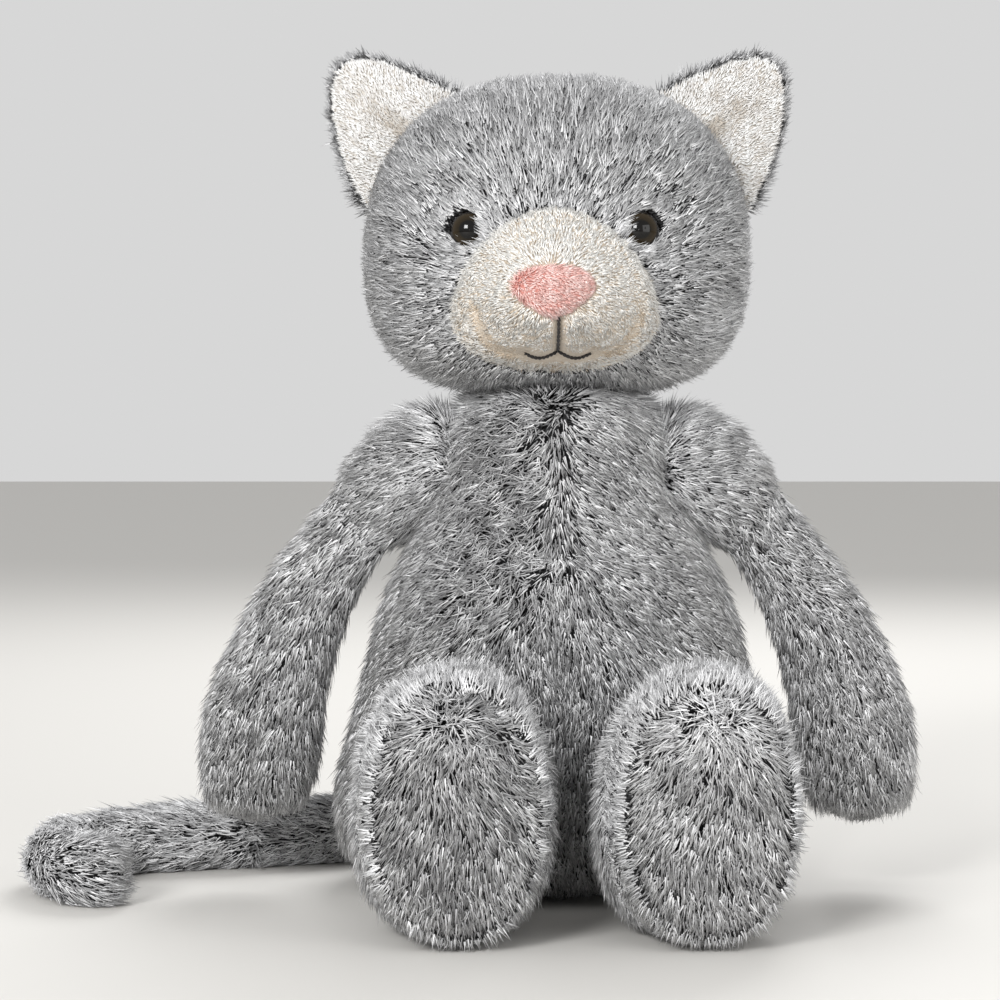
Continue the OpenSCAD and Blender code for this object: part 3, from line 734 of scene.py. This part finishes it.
# Middle of the tail on the floor, as the CAD's own curve runs
TAIL = np.array([[-4, 56.5], [-20, 57], [-37, 52], [-55, 43], [-73, 34], [-92, 28], [-110, 21],
                 [-122, 8], [-126.5, -9], [-123, -25], [-115, -33], [-106, -34]], float)
tail_top = corners("tail_tip_upper")[1][2]
TAIL_R = (tail_top - corners("tail_tip_lower")[0][2]) / 2
TAIL_Z = tail_top - TAIL_R
ROOT_Z = joint_at("tail_swing")[2]


def tail_at(t):
    n = len(TAIL) - 1
    i = min(int(t), n - 1)
    f = t - i
    a, b, c, d = (TAIL[min(max(k, 0), n)] for k in (i - 1, i, i + 1, i + 2))
    xy = 0.5 * (2 * b + (c - a) * f + (2 * a - 5 * b + 4 * c - d) * f**2 + (3 * b - a - 3 * c + d) * f**3)
    z = ROOT_Z + (TAIL_Z - ROOT_Z) * min(t / 2, 1)
    return np.array([*xy, z])


def tail_heading(t):
    return unit(tail_at(min(t + 0.03, 11)) - tail_at(max(t - 0.03, 0)))


def tail_skin(name, t0, t1, rounded):
    """A closed tube along the tail from t0 to t1. rounded is the end that is a
    half ball: -1 the start, 1 the end, 0 neither."""
    radius, around = TAIL_R - 1.3, 24
    steps = max(4, round((t1 - t0) * 6))
    rings = [(t0 + (t1 - t0) * i / steps, 0.0, 1.0) for i in range(steps + 1)]
    caps = [math.radians(a) for a in (22, 45, 65, 80)]
    if rounded < 0:
        rings = [(t0, -math.sin(a) * radius, math.cos(a)) for a in reversed(caps)] + rings
    if rounded > 0:
        rings += [(t1, math.sin(a) * radius, math.cos(a)) for a in caps]
    bm = bmesh.new()
    rows = []
    for t, along, grow in rings:
        c, d = tail_at(t), tail_heading(t)
        side = unit(np.cross([0, 0, 1], d))
        up = np.cross(d, side)
        swell = 1 + 0.05 * math.sin(t * 2.6) + 0.03 * math.sin(t * 6.1)
        row = []
        for k in range(around):
            v = 2 * math.pi * k / around
            at = c + d * along + (side * math.cos(v) + up * math.sin(v)) * radius * grow * swell
            at[2] = max(at[2], 1.2)
            row.append(bm.verts.new(at * MM))
        rows.append(row)
    for a, b in zip(rows, rows[1:], strict=False):
        for k in range(around):
            j = (k + 1) % around
            bm.faces.new((a[k], b[k], b[j], a[j]))
    bm.faces.new(rows[0])
    bm.faces.new(list(reversed(rows[-1])))
    bmesh.ops.recalc_face_normals(bm, faces=bm.faces)
    mesh = bpy.data.meshes.new(name)
    bm.to_mesh(mesh)
    bm.free()
    return new_object(name, smooth_shaded(mesh))


TAIL_LINE = np.array([tail_at(t) for t in np.linspace(0, 11, 89)])
TAIL_WAY = np.array([tail_heading(t) for t in np.linspace(0, 11, 89)])


def tail_flow(p, n):
    near = np.argmin(((p[:, None, :] - TAIL_LINE[None]) ** 2).sum(2), 1)
    return TAIL_WAY[near]


# Each length: its start and end, which end is round, the place of its joint along
# the tail, the bodies it joins, the joint, and the nodes it stands for
for name, t0, t1, rounded, bend, parent, child, joint, nodes in (
    ("base", 0.0, 1.5, -1, 0.0, "torso", "tail_base", "tail_swing",
     ["tail_base_cloth", "tail_base_stuffing"]),
    ("middle", 1.5, 4.5, 0, 3.0, "tail_base", "tail_middle", "tail_middle_bend",
     ["tail_middle_cloth", "tail_middle_stuffing"]),
    ("tip", 4.5, 10.0, 1, 6.0, "tail_middle", "tail_tip", "tail_tip_bend",
     ["tail_tip_upper", "tail_tip_lower", "tail_tip_stuffing"]),
):
    piece = tail_skin(f"tail_skin_{name}", t0, t1, rounded)
    way = tail_heading(bend) * [1, 1, 0]
    ends = [Vector((joint_at(joint) + way * off) * MM) for off in (-9, 9)]
    pile(f"tail_fur_{name}", piece, tail_flow, GREY, (parent, child, *ends), seed=61 + round(bend / 3))
    piece.data.materials.append(GREY_BACKING)
    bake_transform(piece)
    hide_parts(*nodes)

# ---- ears --------------------------------------------------------------------

for side, s in SIDES:
    hinge = EAR_HINGES[side]
    up = unit(np.array([s * 0.79, 0, 0.61]))
    line = np.array([s * 0.61, 0, -0.79])  # along the ear's base

    def ear_flow(p, n, hinge=hinge, up=up, line=line):
        aside = (p - hinge) @ line
        return up + 0.045 * aside[:, None] * line + np.array([0, -0.25, 0])

    def ear_hollow_shade(p, hinge=hinge, up=up, line=line):
        """Painted shade: the white is darker low in its middle, where the ear is cupped."""
        across, along = (p - hinge) @ line, (p - hinge) @ up
        return 0.25 - 0.7 * np.exp(-(((across + 3) / 2.6) ** 2) - (along / 16) ** 2)

    for part, backing, slot in (
        ("outer", EAR_BACKING, "grey_fur"), ("inner", WHITE_BACKING, "white_plush")
    ):
        node = f"ear_{part}_{side}"
        ear = finer(skin(f"ear_{part}_skin_{side}", [node], 1.3, 0.3, rounds=4))
        if part == "inner":  # the grey shows as a narrow band round the white
            set_coords(ear.data, hinge + (coords(ear.data) - hinge) * [0.96, 1, 0.96])
        dressed(ear, backing, slot, f"ear_{side}", node, fill=0.3)
        if part == "outer":
            pile(f"ear_fur_{side}", ear, ear_flow, EAR_GREY, f"ear_{side}", density=5.0, long=4.6,
                 lean=1.2, keep=lambda p, n: n[:, 1] > -0.85, seed=71 if s > 0 else 72)
        else:
            pile(f"ear_plush_{side}", ear, ear_flow, WHITE, f"ear_{side}", density=5.5, long=2.4,
                 # paler: painted shade in the cupped middle of the white
                 wide=0.32, lean=1.1, keep=lambda p, n: n[:, 1] < -0.5, paler=ear_hollow_shade,
                 seed=73 if s > 0 else 74)

# ---- muzzle, nose and mouth ----------------------------------------------------

STEM_X = (thread_lo[0] + thread_hi[0]) / 2 + 0.9  # the stem stands a little to the cat's left
SMILE_W = (thread_hi[0] - thread_lo[0]) / 2
STEM_TOP = thread_hi[2]
SMILE_Z = thread_lo[2] + 1.6
STEM_FOOT = SMILE_Z + 0.2


def smile(side, n=14):
    """Points x, z along one side of the mouth, from the stem outwards."""
    g = np.linspace(0, 1, n)
    return np.stack([STEM_X + side * (SMILE_W - 0.2) * g, STEM_FOOT - 1.7 * np.sin(np.radians(165) * g)], 1)


# The crease up each cheek, from the corner of the mouth
CREASE = np.array([[0, 0], [3.8, 0.1], [6.8, 1.3], [9.2, 4.1], [10.7, 7.6], [11.4, 11.1]])


def line_distance(x, z, line):
    """Distance from points to a polyline, and how far along it (0 to 1)."""
    best = np.full(len(x), 1e9)
    along = np.zeros(len(x))
    for i, (a, b) in enumerate(zip(line, line[1:], strict=False)):
        d = b - a
        t = np.clip(((x - a[0]) * d[0] + (z - a[1]) * d[1]) / (d @ d), 0, 1)
        r = np.hypot(x - a[0] - t * d[0], z - a[1] - t * d[1])
        closer = r < best
        best = np.where(closer, r, best)
        along = np.where(closer, (i + t) / (len(line) - 1), along)
    return best, along


def crease_distance(x, z, side):
    corner = np.array([STEM_X + side * SMILE_W, STEM_FOOT - 0.4])
    return line_distance(x, z, corner + CREASE * [side, 1])


def relief(x, z):
    """How far the muzzle stands out, beyond its plain dome."""
    high = np.zeros(len(x))
    for side in (-1, 1):
        cheek = ((x - STEM_X - side * 9.5) / 8.5) ** 2 + ((z - STEM_FOOT - 5.4) / 6.5) ** 2
        high += 1.9 * np.exp(-cheek)
        r = line_distance(x, z, smile(side))[0]
        high -= 1.2 * np.exp(-((r / 1.3) ** 2))
        r, t = crease_distance(x, z, side)
        deep = 2.8 if side < 0 else 1.8
        high -= deep * (1 - t * 0.9) * np.exp(-((r / 0.9) ** 2))
    r = line_distance(x, z, np.array([[STEM_X, STEM_TOP], [STEM_X, STEM_FOOT]]))[0]
    high -= 1.3 * np.exp(-((r / 1.5) ** 2))
    chin = ((x - STEM_X) / 9) ** 2 + ((z - muzzle_lo[2] - 0.6) / 2.4) ** 2
    cleft = (x - STEM_X) ** 2 + ((z - muzzle_lo[2]) / 2.5) ** 2
    return high + 0.7 * np.exp(-chin) - 0.5 * np.exp(-cleft)


def muzzle_y(x, z, rho):
    """Front of the muzzle's skin."""
    y = np.array([front_of(MUZZLE_TREE, a, b) or np.nan for a, b in zip(x, z, strict=True)])
    return y - (relief(x, z) - 0.5) * ramp(1 - rho, 0, 0.18) - 1.8


def disc(name, mid, edge, rings, around, height, thick):
    """A closed pad seen from the front: rings of points out to an edge, at the
    y that height gives for x, z and rho, and thick behind it."""
    bm = bmesh.new()
    fronts, backs = [], []
    for q in rings:
        a = np.arange(1 if q == 0 else around) * 2 * math.pi / around
        r = q * np.array([edge(v) for v in a]) * 0.997
        x, z = mid[0] + r * np.cos(a), mid[1] + r * np.sin(a)
        y = height(x, z, np.full(len(x), q))
        fronts.append([bm.verts.new(v) for v in np.stack([x, y, z], 1) * MM])
        backs.append([bm.verts.new(v) for v in np.stack([x, y + thick, z], 1) * MM])
    for rows, flip in ((fronts, False), (backs, True)):
        for a, b in zip(rows, rows[1:], strict=False):
            for k in range(around):
                j = (k + 1) % around
                f = (a[0], b[k], b[j]) if len(a) == 1 else (a[k], b[k], b[j], a[j])
                bm.faces.new(tuple(reversed(f)) if flip else f)
    for k in range(around):
        j = (k + 1) % around
        bm.faces.new((fronts[-1][k], backs[-1][k], backs[-1][j], fronts[-1][j]))
    bmesh.ops.recalc_face_normals(bm, faces=bm.faces)
    mesh = bpy.data.meshes.new(name)
    bm.to_mesh(mesh)
    bm.free()
    return new_object(name, smooth_shaded(mesh))


def edge_at(a):
    i = a / (2 * math.pi) * EDGE_STEPS
    f = i - math.floor(i)
    i = int(i) % EDGE_STEPS
    return EDGE[i] * (1 - f) + EDGE[(i + 1) % EDGE_STEPS] * f


def muzzle_edge(a):
    return edge_at(a) * (1 - 0.04 * max(math.sin(a), 0))


RINGS = np.linspace(0, 1, 33) ** 0.8
muzzle = disc("muzzle_skin", MUZZLE_MID, muzzle_edge, RINGS, EDGE_STEPS, muzzle_y, 4.0)
dressed(muzzle, CREAM_BACKING, "cream_plush", "head", "muzzle_cloth", "muzzle_stuffing", fill=0.8)

NOSE_MID = np.array([NOSE[0], NOSE[2]])
NOSE_A = (nose_hi[0] - nose_lo[0]) / 2
NOSE_B = (nose_hi[2] - nose_lo[2]) / 2


def nose_edge(a):
    """Radius of the nose's outline: a wide oval above, a soft point below."""
    lo, hi = 0.0, 14.0
    for _ in range(16):
        mid = (lo + hi) / 2
        x, z = mid * math.cos(a) / NOSE_A, mid * math.sin(a) / NOSE_B
        z = (z + 0.1) / 1.1
        width = (1 - min(z, 1) ** 2.5) ** (1 / 2.5) if z > 0 else max(1 + z, 0) ** 0.7
        lo, hi = (mid, hi) if abs(x) < width and abs(z) < 1 else (lo, mid)
    return lo


def nose_y(x, z, rho):
    rho_m = muzzle_rho(np.stack([x, np.full(len(x), -60.0), z], 1))
    return muzzle_y(x, z, rho_m) - 0.3 - 2.0 * np.maximum(1 - rho**2, 0) ** 0.6


nose = disc("nose_skin", NOSE_MID + [0, 0.6], lambda a: nose_edge(a) * 0.95, RINGS[::4], 48, nose_y, 0.8)
dressed(nose, PINK_BACKING, "pink_plush", "head", "nose_pad", fill=0.7)


def nose_inside(p, grow):
    """True where a point in front lies under the nose."""
    dx, dz = p[:, 0] - NOSE_MID[0], p[:, 2] - NOSE_MID[1] - 0.6
    r = np.array([nose_edge(a) for a in np.linspace(0, 2 * math.pi, 65)])
    a = np.arctan2(dz, dx) % (2 * math.pi) / (2 * math.pi) * 64
    i = np.floor(a).astype(int) % 64
    return np.hypot(dx, dz) < (r[i] + (r[i + 1] - r[i]) * (a - np.floor(a))) * grow


def mouth_distance(p):
    x, z = p[:, 0], p[:, 2]
    r = line_distance(x, z, np.array([[STEM_X, STEM_TOP + 1], [STEM_X, STEM_FOOT]]))[0]
    for side in (-1, 1):
        r = np.minimum(r, line_distance(x, z, smile(side))[0])
    return r


def folds(p):
    """1 in the creases beside the mouth and in the cleft of the chin, where the pile is shorter and painted
    darker as shade, most in the crease on the cat's right.
    """
    x, z = p[:, 0], p[:, 2]
    most = np.exp(-(((x - STEM_X) / 1.1) ** 2 + ((z - muzzle_lo[2] - 0.5) / 2.6) ** 2)) * 0.6
    for side, dark in ((-1, 1.0), (1, 0.6)):
        r, t = crease_distance(x, z, side)
        most = np.maximum(most, dark * np.exp(-((r / 1.0) ** 2)) * (1 - 0.5 * t))
    return most


def muzzle_flow(p, n):
    away = p - [NOSE_MID[0], 0, NOSE_MID[1] + 1]
    away[:, 1] = 0
    return unit(away) + [0, 0, -0.15]


def muzzle_length(p):
    by_thread = ramp(mouth_distance(p), 0.5, 2.4)
    edge = 0.85 + 0.6 * ramp(muzzle_rho(p), 0.82, 1)
    return edge * (1 - 0.35 * folds(p)) * (0.35 + 0.65 * by_thread)


def nose_flow(p, n):
    return unit(p - [NOSE_MID[0], 0, NOSE_MID[1] + 1]) * [1, 0, 1] + [0.6, 0, -0.2]


pile(
    "muzzle_plush", muzzle, muzzle_flow, CREAM, "head", density=6.5, long=3.3, wide=0.34,
    longer=muzzle_length, lean=lambda p: 1.25 - 0.2 * ramp(muzzle_rho(p), 0.82, 0.98),
    # paler: the cream is paler above the nose; in the creases and the chin cleft the tone drops as painted
    # shade
    paler=lambda p: 0.1 + 0.2 * ramp(p[:, 2] - NOSE[2], -4, 6) - 0.95 * folds(p), mess=0.16, locks=0.4,
    keep=lambda p, n: (n[:, 1] < 0.4) & ~nose_inside(p, 0.9) & (mouth_distance(p) > 0.55),
    parts=lambda p: (p[:, 0] < STEM_X) * 1, seed=81,
)
pile("nose_plush", nose, nose_flow, PINK, "head", density=9.0, long=2.1, wide=0.28, lean=1.2, mess=0.3,
     keep=lambda p, n: n[:, 1] < 0.3, seed=82)


def thread_line(name, line, material):
    """A two-ply thread along x, z points, lying on the muzzle."""
    line = np.array(line)
    step = np.concatenate([[0], np.cumsum(np.linalg.norm(np.diff(line, axis=0), axis=1))])
    count = max(12, int(step[-1] / 0.22))
    s = np.linspace(0, step[-1], count)
    x, z = np.interp(s, step, line[:, 0]), np.interp(s, step, line[:, 1])
    rho = muzzle_rho(np.stack([x, np.full(count, -60.0), z], 1))
    at = np.stack([x, muzzle_y(x, z, rho) - 1.0, z], 1)
    bm = bmesh.new()
    for ply in (0, 1):
        rows = []
        for i in range(count):
            d = unit(at[min(i + 1, count - 1)] - at[max(i - 1, 0)])
            side = unit(np.cross(d, [0, -1, 0]))
            up = np.cross(side, d)
            turn = s[i] / 1.9 * 2 * math.pi + ply * math.pi
            end = min(1.0, 0.35 + 0.65 * min(i, count - 1 - i) / 2)
            c = at[i] + (side * math.cos(turn) + up * math.sin(turn)) * 0.19
            rows.append([
                bm.verts.new((c + (side * math.cos(v) + up * math.sin(v)) * 0.27 * end) * MM)
                for v in np.arange(8) * math.pi / 4
            ])
        for a, b in zip(rows, rows[1:], strict=False):
            for k in range(8):
                bm.faces.new((a[k], b[k], b[(k + 1) % 8], a[(k + 1) % 8]))
        bm.faces.new(rows[0])
        bm.faces.new(list(reversed(rows[-1])))
    bmesh.ops.recalc_face_normals(bm, faces=bm.faces)
    mesh = bpy.data.meshes.new(name)
    bm.to_mesh(mesh)
    bm.free()
    mesh.materials.append(material)
    ob = new_object(name, smooth_shaded(mesh))
    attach(ob, "head")
    return ob


THREAD = woven("mouth_thread", srgb(18, 15, 14), srgb(40, 34, 32), 2500, 0.5, roughness=0.6, sheen=0.1)
mouth = thread_line("mouth_stem", [[STEM_X, STEM_TOP + 0.6], [STEM_X, STEM_FOOT]], THREAD)
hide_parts("mouth_stitching")
for side, s in SIDES:
    thread_line(f"mouth_curve_{side}", smile(s), THREAD)

# ---- eyes ----------------------------------------------------------------------


def eye_material(name, centre):
    """Glossy: a black pupil in a dark amber ring with a black rim."""
    m = principled(name, srgb(30, 24, 12), 0.06, Specular_IOR_Level=0.3)
    nt = m.node_tree
    shader = nt.nodes["Principled BSDF"]
    where = nt.nodes.new("ShaderNodeTexCoord")
    off = nt.nodes.new("ShaderNodeVectorMath")
    off.operation = "SUBTRACT"
    off.inputs[1].default_value = centre * MM
    flat = nt.nodes.new("ShaderNodeVectorMath")
    flat.operation = "MULTIPLY"
    flat.inputs[1].default_value = (1000 / EYE_R, 0, 1000 / EYE_R)
    far = nt.nodes.new("ShaderNodeVectorMath")
    far.operation = "LENGTH"
    ring = nt.nodes.new("ShaderNodeValToRGB")
    stops = ring.color_ramp.elements
    stops[0].position, stops[0].color = 0.0, srgb(10, 8, 7)
    stops[1].position, stops[1].color = 1.0, srgb(14, 11, 10)
    amber = ((0.42, (6, 5, 4)), (0.5, (27, 20, 7)), (0.74, (40, 30, 11)), (0.84, (9, 7, 6)))
    for place, shade in amber:
        stops.new(place).color = srgb(*shade)
    nt.links.new(where.outputs["Object"], off.inputs[0])
    nt.links.new(off.outputs["Vector"], flat.inputs[0])
    nt.links.new(flat.outputs["Vector"], far.inputs[0])
    nt.links.new(far.outputs["Value"], ring.inputs["Fac"])
    nt.links.new(ring.outputs["Color"], shader.inputs["Base Color"])
    return m


for side, s in SIDES:
    eye = frame["nodes"][f"eye_{side}"]
    eye.data.materials.clear()
    eye.data.materials.append(eye_material(f"eye_glass_{side}", EYES[side]))
    smooth_shaded(eye.data)

LABEL = woven("label_tape", srgb(222, 220, 214), srgb(240, 239, 235), 1500, 0.6, roughness=0.6)
label_node = frame["nodes"]["care_label"]
label_node.data.materials.clear()
label_node.data.materials.append(LABEL)
for name in ("neck_wad", "eye_washer_left", "eye_washer_right"):
    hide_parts(name)

# ---- stage ---------------------------------------------------------------------

bpy.ops.mesh.primitive_plane_add(size=8, location=(0, 0, 0))
floor = bpy.context.object
floor.name = "floor"
floor.data.materials.append(principled("floor_paint", srgb(206, 204, 200), 0.7))

world = bpy.data.worlds.new("studio")
bpy.context.scene.world = world
world.use_nodes = True
world.node_tree.nodes["Background"].inputs["Color"].default_value = (1, 1, 1, 1)
world.node_tree.nodes["Background"].inputs["Strength"].default_value = 0.68


def lamp(name, at, toward, size, power):
    data = bpy.data.lights.new(name, "AREA")
    data.size, data.energy = size, power
    ob = bpy.data.objects.new(name, data)
    bpy.context.scene.collection.objects.link(ob)
    ob.location = at
    ob.rotation_euler = (Vector(toward) - Vector(at)).to_track_quat("-Z", "Y").to_euler()


MIDDLE = (CAD_BOX[0] + CAD_BOX[1]) / 2
lamp("key", (-0.45, -1.0, 0.55), MIDDLE, 0.35, 11.5)
lamp("fill", (0.7, -0.9, 0.3), MIDDLE, 0.8, 5.2)
lamp("back", (0.2, 0.8, 0.8), MIDDLE, 0.6, 7)

CAM_BACK_M, CAM_SIDE_M, CAM_UP_M, AIM_UP_M, VIEW_WIDTH_M = 0.8, -0.0147, 0.125, 0.0994, 0.258
camera = bpy.data.objects.new("camera", bpy.data.cameras.new("camera"))
bpy.context.scene.collection.objects.link(camera)
camera.location = (CAM_SIDE_M, -CAM_BACK_M, CAM_UP_M)
aim = Vector((CAM_SIDE_M, 0, AIM_UP_M)) - camera.location
camera.rotation_euler = aim.to_track_quat("-Z", "Y").to_euler()
camera.data.sensor_width = 36
camera.data.lens = 18 * aim.length / (VIEW_WIDTH_M / 2)
bpy.context.scene.camera = camera
bpy.context.scene.view_settings.view_transform = "Standard"
